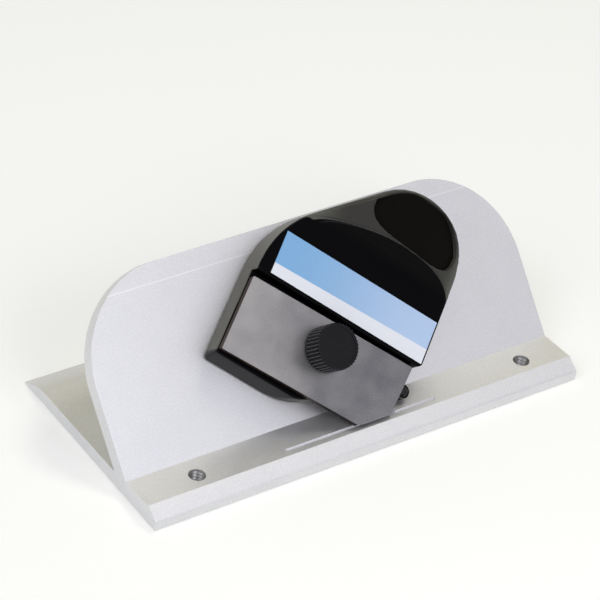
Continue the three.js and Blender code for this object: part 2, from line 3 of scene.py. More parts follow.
import logging
import math
from dataclasses import dataclass
from enum import Enum
from typing import Callable

import bpy
from mathutils import Matrix, Vector


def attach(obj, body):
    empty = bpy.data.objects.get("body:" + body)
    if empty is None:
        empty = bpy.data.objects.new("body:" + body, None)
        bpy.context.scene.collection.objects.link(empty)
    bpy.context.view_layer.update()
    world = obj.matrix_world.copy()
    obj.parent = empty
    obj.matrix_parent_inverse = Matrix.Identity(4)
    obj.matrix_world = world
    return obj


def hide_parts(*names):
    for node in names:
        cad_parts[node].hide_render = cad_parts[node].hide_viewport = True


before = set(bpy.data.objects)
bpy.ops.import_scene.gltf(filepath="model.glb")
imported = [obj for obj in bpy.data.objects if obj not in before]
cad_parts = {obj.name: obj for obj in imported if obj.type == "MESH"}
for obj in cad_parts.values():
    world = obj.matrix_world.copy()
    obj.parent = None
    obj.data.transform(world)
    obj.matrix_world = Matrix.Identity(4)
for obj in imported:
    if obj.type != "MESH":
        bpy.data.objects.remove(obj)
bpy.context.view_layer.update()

Socket = bpy.types.NodeSocket
Tree = bpy.types.NodeTree
Pair = tuple[float, float]
Spot = tuple[float, float, float]

LOG = logging.getLogger("bevel_cutter")
MM = 0.001
MERGE_DISTANCE = 0.002 * MM
FLAT_ANGLE = math.radians(0.3)
BEVEL_ANGLE = math.radians(35)
SMOOTH_ANGLE = math.radians(32)
IMAGE_PIXELS = 600

# Where the fin leans back from the strip, the head turns on the fin and the knob stands on the head
FIN_ROOT_MM = (0.0, -21.75, 5.7)
FIN_LEAN = 45.0
PIVOT_MM = (24.5, 22.2, 0.0)
HEAD_TURN = -44.3
STUD_MM = (-21.9, -23.6, 0.0)

# The fin's shallow step, and the scoop's crease and axis, which a shape and a finish both follow
FIN_STEP_MM = 59.3
SCOOP_CREASE_MM = 11.6
SCOOP_AXIS_MM = 22.0

# A Map Range eases in and out, and may fall from 1 to 0. A Mix takes its colours at sockets 6 and 7
SMOOTH = {"interpolation_type": "SMOOTHSTEP"}
FALLING = {3: 1.0, 4: 0.0}
COLOURS = {"data_type": "RGBA", "output": 2}

# Nearly all of a noise lies between these, and a Wave texture of scale 1 has crests this far apart
NOISE_SPAN = (0.3, 0.7)
WAVE_SPACING = 0.314


class Body(Enum):
    """The moving bodies that pieces ride on."""

    BASE = "base"
    HEAD = "head"
    BLADE = "blade"
    CLAMP_PLATE = "clamp_plate"
    KNOB = "knob"


def lay_frame(spot_mm: Spot, turn: float = 0.0, axis: str = "Z") -> Matrix:
    """Lays a frame at a spot and turns it about one of its axes.

    Args:
        spot_mm: The frame's origin, in millimetres.
        turn: The turn in degrees.
        axis: The axis that it turns about.

    Returns:
        The frame.
    """
    return Matrix.Translation(Vector(spot_mm) * MM) @ Matrix.Rotation(math.radians(turn), 4, axis)


FIN = lay_frame(FIN_ROOT_MM, FIN_LEAN, "X")
HEAD = FIN @ lay_frame(PIVOT_MM, HEAD_TURN)
KNOB = HEAD @ lay_frame(STUD_MM)


def to_linear(colour: int) -> tuple[float, float, float, float]:
    """Turns an sRGB hex value into linear red, green, blue and alpha.

    Args:
        colour: sRGB colour such as 0xc0c0c0.

    Returns:
        The linear colour with an alpha of 1.
    """
    parts = [(colour >> shift & 0xFF) / 255 for shift in (16, 8, 0)]
    red, green, blue = (part / 12.92 if part <= 0.04045 else ((part + 0.055) / 1.055) ** 2.4
                        for part in parts)
    return (red, green, blue, 1.0)


def add_node(tree: Tree, kind: str, inputs: dict | None = None, output: int | str = 0,
             **settings: object) -> Socket:
    """Adds one shader node with its settings, and fills its inputs with values and links.

    Args:
        tree: The node tree that takes the node.
        kind: The node's type without its ShaderNode, such as Bump.
        inputs: Input sockets, each with its value or with the output socket that feeds it.
        output: The output socket that is wanted.
        settings: Properties of the node itself.

    Returns:
        The wanted output socket.
    """
    node = tree.nodes.new(f"ShaderNode{kind}")
    for key, value in settings.items():
        setattr(node, key, value)
    for socket, value in (inputs or {}).items():
        if isinstance(value, Socket):
            tree.links.new(value, node.inputs[socket])
        else:
            node.inputs[socket].default_value = value
    return node.outputs[output]


def across(value: Socket, span_mm: Pair) -> dict:
    """Gives the inputs of a Map Range that changes over a stretch of the piece.

    Args:
        value: The measure to read, in metres.
        span_mm: Where the change starts and ends, in millimetres.

    Returns:
        The inputs by their number.
    """
    return {0: value, 1: span_mm[0] * MM, 2: span_mm[1] * MM}


def seen_from(tree: Tree, where: Socket, place: Matrix) -> Socket:
    """Turns a place on the cutter into one in a sub-assembly's own frame.

    Args:
        tree: The material's node tree.
        where: The place on the cutter.
        place: The sub-assembly's frame.

    Returns:
        The place in that frame, in metres.
    """
    back = place.inverted()
    return add_node(tree, "Mapping", {"Location": back.to_translation(),
                                      "Rotation": back.to_euler(), "Vector": where})


def away_from_axis(tree: Tree, first: Socket, second: Socket) -> Socket:
    """Measures how far a place lies from an axis.

    Args:
        tree: The material's node tree.
        first: How far it lies from the axis one way.
        second: How far it lies from it the other way.

    Returns:
        The straight distance.
    """
    squares = [add_node(tree, "Math", {0: side, 1: side}, operation="MULTIPLY")
               for side in (first, second)]
    total = add_node(tree, "Math", {0: squares[0], 1: squares[1]}, operation="ADD")
    return add_node(tree, "Math", {0: total}, operation="SQRT")


def pick_only(piece: bpy.types.Object) -> None:
    """Makes a piece the only selected and active one.

    Args:
        piece: The object to select.
    """
    bpy.ops.object.select_all(action="DESELECT")
    piece.select_set(True)
    bpy.context.view_layer.objects.active = piece


def apply_modifier(piece: bpy.types.Object, kind: str, **settings: object) -> None:
    """Adds a modifier to a piece and applies it.

    Args:
        piece: The object to change.
        kind: The modifier's type, such as BEVEL.
        settings: Properties of the modifier.
    """
    pick_only(piece)
    modifier = piece.modifiers.new(kind.lower(), kind)
    for key, value in settings.items():
        setattr(modifier, key, value)
    bpy.ops.object.modifier_apply(modifier=modifier.name)


def carve(piece: bpy.types.Object, cutter: bpy.types.Object) -> None:
    """Cuts one shape out of a piece and removes the cutter.

    Args:
        piece: The object that is cut.
        cutter: The closed shape that is taken away.
    """
    apply_modifier(piece, "BOOLEAN", operation="DIFFERENCE", object=cutter, solver="EXACT")
    bpy.data.objects.remove(cutter)


def select_vertices(piece: bpy.types.Object, wanted: Callable[[Vector], bool]) -> None:
    """Opens a piece in edit mode with the wanted vertices selected.

    Args:
        piece: The object to open.
        wanted: Says of a vertex's place whether it is selected.
    """
    pick_only(piece)
    bpy.ops.object.mode_set(mode="EDIT")
    bpy.ops.mesh.select_mode(type="VERT")
    bpy.ops.mesh.select_all(action="DESELECT")
    bpy.ops.object.mode_set(mode="OBJECT")
    for vertex in piece.data.vertices:
        vertex.select = wanted(vertex.co)
    bpy.ops.object.mode_set(mode="EDIT")


def close_edit() -> None:
    """Leaves edit mode."""
    bpy.ops.object.mode_set(mode="OBJECT")


def settle(piece: bpy.types.Object) -> None:
    """Puts a piece's place in its mesh, merges its doubles and smooths its shading.

    Args:
        piece: The finished object.
    """
    pick_only(piece)
    bpy.ops.object.transform_apply(location=True, rotation=True, scale=True)
    bpy.ops.object.mode_set(mode="EDIT")
    bpy.ops.mesh.select_all(action="SELECT")
    bpy.ops.mesh.remove_doubles(threshold=MERGE_DISTANCE)
    bpy.ops.mesh.normals_make_consistent(inside=False)
    close_edit()
    bpy.ops.object.shade_smooth_by_angle(angle=SMOOTH_ANGLE)


def merged_copy(node: str) -> bpy.types.Object:
    """Copies a CAD node and merges its loose triangles into one closed mesh.

    Args:
        node: The CAD node's name.

    Returns:
        The new object, with no material and no body yet.
    """
    piece = bpy.data.objects.new(f"{node}_fine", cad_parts[node].data.copy())
    bpy.context.scene.collection.objects.link(piece)
    piece.data.materials.clear()
    pick_only(piece)
    bpy.ops.mesh.customdata_custom_splitnormals_clear()
    bpy.ops.object.mode_set(mode="EDIT")
    bpy.ops.mesh.select_all(action="SELECT")
    bpy.ops.mesh.remove_doubles(threshold=MERGE_DISTANCE)
    bpy.ops.mesh.dissolve_limited(angle_limit=FLAT_ANGLE)
    close_edit()
    return piece


@dataclass(frozen=True)
class Finish:
    """A surface with a fine grain in its roughness and relief, and a broad one in its colour."""

    name: str
    slot: str
    colour: int
    shade: int
    metallic: float
    roughness: float
    roughness_spread: float
    grain_mm: float
    relief_mm: float
    stretch: tuple[float, float, float] = (1, 1, 1)
    place: Matrix | None = None
    specular: float = 0.5
    broad_grains: float = 14.0

    def build(self) -> bpy.types.Material:
        """Makes the material, or finds the one made before.

        Returns:
            The finished material.
        """
        found = bpy.data.materials.get(self.name)
        if found is not None:
            return found
        material = bpy.data.materials.new(self.name)
        material.use_nodes = True
        tree = material.node_tree
        shader = tree.nodes["Principled BSDF"]
        shader.inputs["Metallic"].default_value = self.metallic
        shader.inputs["Specular IOR Level"].default_value = self.specular
        where = add_node(tree, "TexCoord", output="Object")
        if self.place is not None:
            where = seen_from(tree, where, self.place)
        self.paint(tree, shader, where)
        return material

    def paint(self, tree: Tree, shader: bpy.types.Node, where: Socket) -> None:
        """Varies the colour broadly, and the roughness and relief finely.

        Args:
            tree: The material's node tree.
            shader: The Principled node.
            where: The place to read.
        """
        fine = self.grain(tree, where, self.grain_mm)
        broad = self.grain(tree, where, self.grain_mm * self.broad_grains, 2.0)
        colour = add_node(tree, "Mix", {0: broad, 6: to_linear(self.shade),
                                        7: to_linear(self.colour)}, **COLOURS)
        self.dress(tree, shader, colour, self.rough(tree, fine), fine)

    def grain(self, tree: Tree, where: Socket, size_mm: float, detail: float = 3.0) -> Socket:
        """Adds a noise whose grain has a real size.

        Args:
            tree: The material's node tree.
            where: The place to read.
            size_mm: The grain's width in millimetres.
            detail: How many finer layers lie over it.

        Returns:
            The noise from 0 to 1.
        """
        drawn = add_node(tree, "Mapping", {"Scale": self.stretch, "Vector": where})
        return add_node(tree, "TexNoise", {"Scale": 1 / (size_mm * MM), "Detail": detail,
                                           "Vector": drawn}, "Fac")

    def rough(self, tree: Tree, share: Socket, span: Pair = NOISE_SPAN) -> Socket:
        """Spreads the roughness about its middle.

        Args:
            tree: The material's node tree.
            share: Noise from 0 to 1.
            span: The noise at which the surface is smoothest and roughest.

        Returns:
            The roughness.
        """
        return add_node(tree, "MapRange", {0: share, 1: span[0], 2: span[1],
                                           3: self.roughness - self.roughness_spread,
                                           4: self.roughness + self.roughness_spread}, **SMOOTH)

    def dress(self, tree: Tree, shader: bpy.types.Node, colour: Socket, rough: Socket,
              height: Socket) -> None:
        """Links colour, roughness and relief to the shader.

        Args:
            tree: The material's node tree.
            shader: The Principled node.
            colour: The colour.
            rough: The roughness.
            height: The relief, from 0 to about 1.
        """
        tree.links.new(colour, shader.inputs["Base Color"])
        tree.links.new(rough, shader.inputs["Roughness"])
        bump = add_node(tree, "Bump", {"Distance": self.relief_mm * MM, "Height": height})
        tree.links.new(bump, shader.inputs["Normal"])


@dataclass(frozen=True)
class BlastedAluminium(Finish):
    """Bead-blasted aluminium: painted glint specks, faint drawing lines and a painted step highlight.
    """

    broad_grains: float = 30.0
    # Painted glints: the specks' white, the noise span that makes them and how strongly they show
    glint_paint_colour: int = 0xFFFFFF
    glint_span: Pair = (0.4, 0.7)
    glint: float = 0.3
    drawing_mm: float = 0.5
    drawing_stretch: tuple[float, float, float] = (0.01, 1, 1)
    drawing_share: float = 0.5
    # The highlight painted along the fin's step: how wide it is, the faces it keeps to and how
    # strongly it shows
    step_span_mm: Pair = (0.132, 0.22)
    front_span_mm: Pair = (-1.0, -0.5)
    step_highlight_share: float = 0.5

    def painted_step_highlight(self, tree: Tree, where: Socket) -> Socket:
        """Finds the line on the fin's face along its step where a highlight is painted.

        Args:
            tree: The material's node tree.
            where: The place on the cutter.

        Returns:
            How much the line shows.
        """
        _, up, out = add_node(tree, "SeparateXYZ", {0: seen_from(tree, where, FIN)}).node.outputs
        past = add_node(tree, "Math", {0: up, 1: FIN_STEP_MM * MM}, operation="SUBTRACT")
        off = add_node(tree, "Math", {0: past}, operation="ABSOLUTE")
        near = add_node(tree, "MapRange", across(off, self.step_span_mm) | FALLING, **SMOOTH)
        front = add_node(tree, "MapRange", across(out, self.front_span_mm), **SMOOTH)
        line = add_node(tree, "Math", {0: near, 1: front}, operation="MULTIPLY")
        return add_node(tree, "Math", {0: line, 1: self.step_highlight_share}, operation="MULTIPLY")

    def paint(self, tree: Tree, shader: bpy.types.Node, where: Socket) -> None:
        """Adds the painted glint specks, the extrusion's drawing lines and the painted step highlight.

        Args:
            tree: The material's node tree.
            shader: The Principled node.
            where: The place to read.
        """
        fine = self.grain(tree, where, self.grain_mm, 4.0)
        broad = self.grain(tree, where, self.grain_mm * self.broad_grains, 2.0)
        drawn = add_node(tree, "Mapping", {"Scale": self.drawing_stretch, "Vector": where})
        lines = add_node(tree, "TexNoise", {"Scale": 1 / (self.drawing_mm * MM), "Detail": 2.0,
                                            "Vector": drawn}, "Fac")
        clouds = add_node(tree, "MapRange", {0: broad, 1: NOISE_SPAN[0], 2: NOISE_SPAN[1]}, **SMOOTH)
        body = add_node(tree, "Mix", {0: clouds, 6: to_linear(self.shade),
                                      7: to_linear(self.colour)}, **COLOURS)
        glint = add_node(tree, "MapRange", {0: fine, 1: self.glint_span[0], 2: self.glint_span[1],
                                            4: self.glint}, **SMOOTH)
        bright = add_node(tree, "Math", {0: glint, 1: self.painted_step_highlight(tree, where)},
                          operation="MAXIMUM")
        # Painted highlight: the white glint specks and the step's highlight are mixed into the colour
        colour = add_node(tree, "Mix", {0: bright, 6: body, 7: to_linear(self.glint_paint_colour)}, **COLOURS)
        faint = add_node(tree, "Math", {0: lines, 1: self.drawing_share}, operation="MULTIPLY")
        height = add_node(tree, "Math", {0: fine, 1: faint}, operation="ADD")
        self.dress(tree, shader, colour, self.rough(tree, fine), height)


@dataclass(frozen=True)
class MouldedAbs(Finish):
    """Injection-moulded ABS: a black polish in the scoop and the seat, and satin walls and roof with
    painted sheen and shade.
    """

    broad_grains: float = 20.0
    gloss_colour: int = 0x060608
    gloss_roughness: float = 0.14
    gloss_specular: float = 0.05
    scoop_span_mm: Pair = (9.75, 9.9)
    seat_span_mm: Pair = (8.2, 8.35)
    block_span_mm: Pair = (-11.5, -11.35)
    # The bottom wall's painted shade, and where it starts
    low_wall_painted_shade: int = 0x080808
    low_wall_shade_span_mm: Pair = (-42.6, -41.6)
    roof_colour: int = 0x2D2C28
    roof_span_mm: Pair = (11.5, 15.0)
    # A painted shade line on the roof just outside the scoop's rim, and where it starts and ends
    rim_painted_shade: int = 0x1C1B19
    rim_shade_start_mm: Pair = (10.1, 10.22)
    rim_shade_end_mm: Pair = (10.35, 10.5)

    def polish(self, tree: Tree, y: Socket, z: Socket, away: Socket) -> Socket:
        """Finds the faces that the mould's polished parts made: the scoop and the blade's seat.

        Args:
            tree: The material's node tree.
            y: The place along the head.
            z: Its height over the fin.
            away: How far it lies from the scoop's axis.

        Returns:
            One on the polished faces, and zero on the others.
        """
        scoop = add_node(tree, "MapRange", across(away, self.scoop_span_mm) | FALLING, **SMOOTH)
        raised = add_node(tree, "MapRange", across(z, self.seat_span_mm), **SMOOTH)
        below = add_node(tree, "MapRange", across(y, self.block_span_mm) | FALLING, **SMOOTH)
        seat = add_node(tree, "Math", {0: raised, 1: below}, operation="MULTIPLY")
        return add_node(tree, "Math", {0: scoop, 1: seat}, operation="MAXIMUM")

    def satin(self, tree: Tree, y: Socket, z: Socket, away: Socket, broad: Socket) -> Socket:
        """Tones the satin faces with painted light: side walls pale as painted reflection, the bottom
        wall black as painted shade, and a darker roof with a painted shade line at the scoop's rim.

        Args:
            tree: The material's node tree.
            y: The place along the head.
            z: Its height over the fin.
            away: How far it lies from the scoop's axis.
            broad: The noise that clouds the walls.

        Returns:
            The colour.
        """
        # Painted sheen and shade: the side walls are coloured pale for their reflection of the bright
        # aluminium, and the bottom wall near black for its shade
        walls = add_node(tree, "Mix", {0: broad, 6: to_linear(self.shade),
                                       7: to_linear(self.colour)}, **COLOURS)
        upper = add_node(tree, "MapRange", across(y, self.low_wall_shade_span_mm), **SMOOTH)
        walls = add_node(tree, "Mix", {0: upper, 6: to_linear(self.low_wall_painted_shade), 7: walls}, **COLOURS)
        roof = add_node(tree, "MapRange", across(z, self.roof_span_mm), **SMOOTH)
        toned = add_node(tree, "Mix", {0: roof, 6: walls, 7: to_linear(self.roof_colour)}, **COLOURS)
        # Painted shade: a thin dark line on the roof along the scoop's rim
        start = add_node(tree, "MapRange", across(away, self.rim_shade_start_mm), **SMOOTH)
        end = add_node(tree, "MapRange", across(away, self.rim_shade_end_mm) | FALLING, **SMOOTH)
        line = add_node(tree, "Math", {0: start, 1: end}, operation="MULTIPLY")
        rim_shade = add_node(tree, "Math", {0: line, 1: roof}, operation="MULTIPLY")
        return add_node(tree, "Mix", {0: rim_shade, 6: toned, 7: to_linear(self.rim_painted_shade)}, **COLOURS)

    def paint(self, tree: Tree, shader: bpy.types.Node, where: Socket) -> None:
        """Splits the surface into the polished and the satin faces.

        Args:
            tree: The material's node tree.
            shader: The Principled node.
            where: The place to read.
        """
        _, y, z = add_node(tree, "SeparateXYZ", {0: where}).node.outputs
        past = add_node(tree, "Math", {0: y, 1: SCOOP_CREASE_MM * MM}, operation="SUBTRACT")
        over = add_node(tree, "Math", {0: past, 1: 0.0}, operation="MAXIMUM")
        down = add_node(tree, "Math", {0: z, 1: SCOOP_AXIS_MM * MM}, operation="SUBTRACT")
        away = away_from_axis(tree, over, down)
        fine = self.grain(tree, where, self.grain_mm)
        broad = self.grain(tree, where, self.grain_mm * self.broad_grains, 2.0)
        polish = self.polish(tree, y, z, away)
        satin = self.satin(tree, y, z, away, broad)
        colour = add_node(tree, "Mix", {0: polish, 6: satin, 7: to_linear(self.gloss_colour)},
                          **COLOURS)
        rough = self.rough(tree, fine)
        gain = add_node(tree, "Math", {0: rough, 1: self.gloss_roughness}, operation="SUBTRACT")
        lost = add_node(tree, "Math", {0: gain, 1: polish}, operation="MULTIPLY")
        kept = add_node(tree, "Math", {0: rough, 1: lost}, operation="SUBTRACT")
        shine = add_node(tree, "MapRange", {0: polish, 3: self.specular, 4: self.gloss_specular},
                         **SMOOTH)
        tree.links.new(shine, shader.inputs["Specular IOR Level"])
        unpolished = add_node(tree, "Math", {0: 1.0, 1: polish}, operation="SUBTRACT")
        height = add_node(tree, "Math", {0: fine, 1: unpolished}, operation="MULTIPLY")
        self.dress(tree, shader, colour, kept, height)


@dataclass(frozen=True)
class LabelFilm(Finish):
    """Printed polyester film with a blue upper part over a white lower part."""

    lower: int = 0xEBEEF5
    boundary_span_mm: Pair = (-5.28, -5.12)
    boundary_slope: float = 0.026
    fade_span_mm: Pair = (-50.0, 12.0)

    def paint(self, tree: Tree, shader: bpy.types.Node, where: Socket) -> None:
        """Draws the two printed areas, with the blue paler to one end.

        Args:
            tree: The material's node tree.
            shader: The Principled node.
            where: The place to read.
        """
        x, y, _ = add_node(tree, "SeparateXYZ", {0: where}).node.outputs
        lean = add_node(tree, "Math", {0: x, 1: self.boundary_slope}, operation="MULTIPLY")
        level = add_node(tree, "Math", {0: y, 1: lean}, operation="SUBTRACT")
        upper = add_node(tree, "MapRange", across(level, self.boundary_span_mm), **SMOOTH)
        fade = add_node(tree, "MapRange", across(x, self.fade_span_mm), **SMOOTH)
        blue = add_node(tree, "Mix", {0: fade, 6: to_linear(self.shade),
                                      7: to_linear(self.colour)}, **COLOURS)
        colour = add_node(tree, "Mix", {0: upper, 6: to_linear(self.lower), 7: blue}, **COLOURS)
        fine = self.grain(tree, where, self.grain_mm)
        self.dress(tree, shader, colour, self.rough(tree, fine), fine)


@dataclass(frozen=True)
class RolledPlate(Finish):
    """Cold-rolled steel: a cloudy grey face, smoother in places, with painted light brighter at one
    end, and dark sheared edges.
    """

    edge: int = 0x42362F
    face_span_mm: Pair = (11.1, 11.17)
    painted_light_span_mm: Pair = (-56.0, 10.0)
    painted_light_shares: Pair = (0.9, 0.1)
    cloud_mm: float = 12.0
    drift: float = 0.9
    worn_span: Pair = (0.35, 0.65)

    def paint(self, tree: Tree, shader: bpy.types.Node, where: Socket) -> None:
        """Clouds the face, paints light on it that falls off from one end to the other and darkens the
        edges.

        Args:
            tree: The material's node tree.
            shader: The Principled node.
            where: The place to read.
        """
        x, _, z = add_node(tree, "SeparateXYZ", {0: where}).node.outputs
        fine = self.grain(tree, where, self.grain_mm)
        cloud = add_node(tree, "TexNoise", {"Scale": 1 / (self.cloud_mm * MM), "Detail": 3.0,
                                            "Vector": where}, "Fac")
        # Painted light: the face is brighter at one end and falls off towards the other
        share = add_node(tree, "MapRange", across(x, self.painted_light_span_mm)
                         | {3: self.painted_light_shares[0], 4: self.painted_light_shares[1]}, **SMOOTH)
        for noise in (cloud, fine):
            centred = add_node(tree, "Math", {0: noise, 1: 0.5}, operation="SUBTRACT")
            drift = add_node(tree, "Math", {0: centred, 1: self.drift}, operation="MULTIPLY")
            share = add_node(tree, "Math", {0: share, 1: drift}, operation="ADD")
        face = add_node(tree, "Mix", {0: share, 6: to_linear(self.shade),
                                      7: to_linear(self.colour)}, **COLOURS)
        level = add_node(tree, "MapRange", across(z, self.face_span_mm), **SMOOTH)
        colour = add_node(tree, "Mix", {0: level, 6: to_linear(self.edge), 7: face}, **COLOURS)
        self.dress(tree, shader, colour, self.rough(tree, cloud, self.worn_span), fine)


@dataclass(frozen=True)
class TurnedOxide(Finish):
    """Black-oxide steel: rings turned in the face, and a painted highlight on the teeth over painted
    shade in their valleys.
    """

    ring_mm: float = 0.6
    wobble: float = 0.6
    nick: float = 0.3
    crest_painted_highlight: int = 0x6E6E72
    valley_painted_shade: int = 0x020202
    tooth_span_mm: Pair = (7.85, 8.08)
    side_span_mm: Pair = (19.35, 19.4)

    def paint(self, tree: Tree, shader: bpy.types.Node, where: Socket) -> None:
        """Adds the rings about the piece's own axis, and the painted highlight and shade on its teeth.

        Args:
            tree: The material's node tree.
            shader: The Principled node.
            where: The place to read.
        """
        x, y, z = add_node(tree, "SeparateXYZ", {0: where}).node.outputs
        out = away_from_axis(tree, x, y)
        # Painted light on the knurl: a highlight on the crests and shade in the valleys
        crest = add_node(tree, "MapRange", across(out, self.tooth_span_mm), **SMOOTH)
        teeth = add_node(tree, "Mix", {0: crest, 6: to_linear(self.valley_painted_shade),
                                       7: to_linear(self.crest_painted_highlight)}, **COLOURS)
        side = add_node(tree, "MapRange", across(z, self.side_span_mm) | FALLING, **SMOOTH)
        rings = add_node(tree, "TexWave", {"Scale": WAVE_SPACING / (self.ring_mm * MM),
                                           "Distortion": self.wobble, "Detail": 1.0,
                                           "Vector": where},
                         "Fac", wave_type="RINGS", rings_direction="Z")
        turned = add_node(tree, "Mix", {0: rings, 6: to_linear(self.shade),
                                        7: to_linear(self.colour)}, **COLOURS)
        colour = add_node(tree, "Mix", {0: side, 6: turned, 7: teeth}, **COLOURS)
        nicks = add_node(tree, "Math", {0: self.grain(tree, where, self.grain_mm), 1: self.nick},
                         operation="MULTIPLY")
        height = add_node(tree, "Math", {0: rings, 1: nicks}, operation="ADD")
        self.dress(tree, shader, colour, self.rough(tree, rings), height)


# A finish's numbers are its colour and shade, metallic, roughness and its spread, grain and relief in
# millimetres. Most real grains here are too fine to show, so they are drawn coarser, 0.2 to 0.45 mm

# Bead-blasted and clear-anodised aluminium: an even pale grey with painted glints in fine white
# specks, drawn coarser than a blast leaves them, and a painted highlight along the fin's step
ALUMINIUM = BlastedAluminium("bead_blasted_anodised_aluminium", "anodised_aluminium", 0xDDDDE0,
                             0xDBDBDE, 0.85, 0.5, 0.07, 0.45, 0.03)
# Aluminium cut by a tap: bare metal, smoother than the blasted face round it, and coloured darker as
# painted shade inside the hole
THREAD = Finish("cut_aluminium_thread", "anodised_aluminium", 0x8E8E8C, 0x6E6E6C, 1.0, 0.35, 0.06,
                0.3, 0.004)
# Moulded ABS: black where the mould was polished, and a warm grey on the satin faces that is painted
# sheen, paler on the side walls as painted reflection and near black on the bottom wall as painted
# shade
ABS = MouldedAbs("moulded_abs", "moulded_black_plastic", 0x62615B, 0x58574F, 0.0, 0.42, 0.05, 0.22,
                 0.008, place=HEAD, specular=0.28)
# Moulded rubber: a warm near-black with hardly any sheen
PAD = Finish("moulded_rubber_pad", "thumb_pad_rubber", 0x0E0D0A, 0x090806, 0.0, 0.65, 0.06, 0.3,
             0.02, place=HEAD, specular=0.04)
# Printed polyester film: flat, even colours with a low sheen
FILM = LabelFilm("printed_polyester_film", "label_film", 0xB9D0F0, 0x82B4E1, 0.0, 0.3, 0.03, 0.4,
                 0.002, place=HEAD)
# Cold-rolled steel: a cloudy grey with a soft sheen, painted light that leaves it darker to one end,
# and darker at its sheared edges
PLATE = RolledPlate("cold_rolled_steel_plate", "plate_steel", 0xACA9A8, 0x77777B, 1.0, 0.42, 0.05,
                    0.4, 0.006, place=HEAD)
# Ground steel: bright, with fine lines across the blade
BLADE = Finish("ground_blade_steel", "blade_steel", 0xB0B2B4, 0x9A9C9E, 1.0, 0.24, 0.06, 0.25,
               0.003, stretch=(1, 0.05, 1), place=HEAD)
# Turned and knurled steel in black oxide: a satin black whose rings catch the light, with a painted
# highlight on the knurl's crests and painted shade in its valleys. The real rings are too fine to
# show, so they are drawn coarser, 0.6 mm apart
OXIDE = TurnedOxide("black_oxide_turned_steel", "black_oxide_steel", 0x1B1B1D, 0x131315, 0.6, 0.24,
                    0.06, 0.2, 0.02, place=KNOB)
# Screw steel in black oxide: an even soft black
SCREW = Finish("black_oxide_screw_steel", "black_oxide_steel", 0x2E2E31, 0x222225, 0.6, 0.4, 0.05,
               0.2, 0.004)
# Zinc plate: pale and bright
ZINC = Finish("zinc_plated_steel", "zinc_steel", 0xC4C4BF, 0xB2B2AE, 1.0, 0.3, 0.06, 0.3, 0.003)
# Turned brass: a warm yellow with a soft sheen
BRASS = Finish("turned_brass", "brass", 0xC4A860, 0xAE9350, 1.0, 0.32, 0.06, 0.3, 0.003)
# Moulded nylon: a waxy off-white
NYLON = Finish("moulded_nylon", "nylon", 0xE6E2D6, 0xDAD5C8, 0.0, 0.5, 0.05, 0.3, 0.003)
# Moulded rubber: matt black
RUBBER = Finish("moulded_black_rubber", "black_rubber", 0x1A1A1A, 0x131313, 0.0, 0.7, 0.06, 0.25,
                0.01)


@dataclass
class Piece:
    """One visible piece that stands for a CAD node."""

    node: str
    body: Body
    finish: Finish
    bevel_mm: float = 0.08
    bevel_steps: int = 2
    flat_faced: bool = True

    def shape(self) -> bpy.types.Object:
        """Makes the piece from its solid, with its edges broken.

        Returns:
            The new object.
        """
        piece = merged_copy(self.node)
        self.break_edges(piece)
        return piece

    def break_edges(self, piece: bpy.types.Object) -> None:
        """Bevels the sharp edges of a piece.

        Args:
            piece: The object to bevel.
        """
        apply_modifier(piece, "BEVEL", width=self.bevel_mm * MM, segments=self.bevel_steps,
                       limit_method="ANGLE", angle_limit=BEVEL_ANGLE, use_clamp_overlap=True)

    def make(self) -> None:
        piece = self.shape()
        settle(piece)
        if self.flat_faced:
            apply_modifier(piece, "WEIGHTED_NORMAL", keep_sharp=True)
        piece.data.materials.append(self.finish.build())
        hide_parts(self.node)
        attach(piece, self.body.value)
        LOG.info("%s: %d faces on %s", piece.name, len(piece.data.polygons), self.body.value)


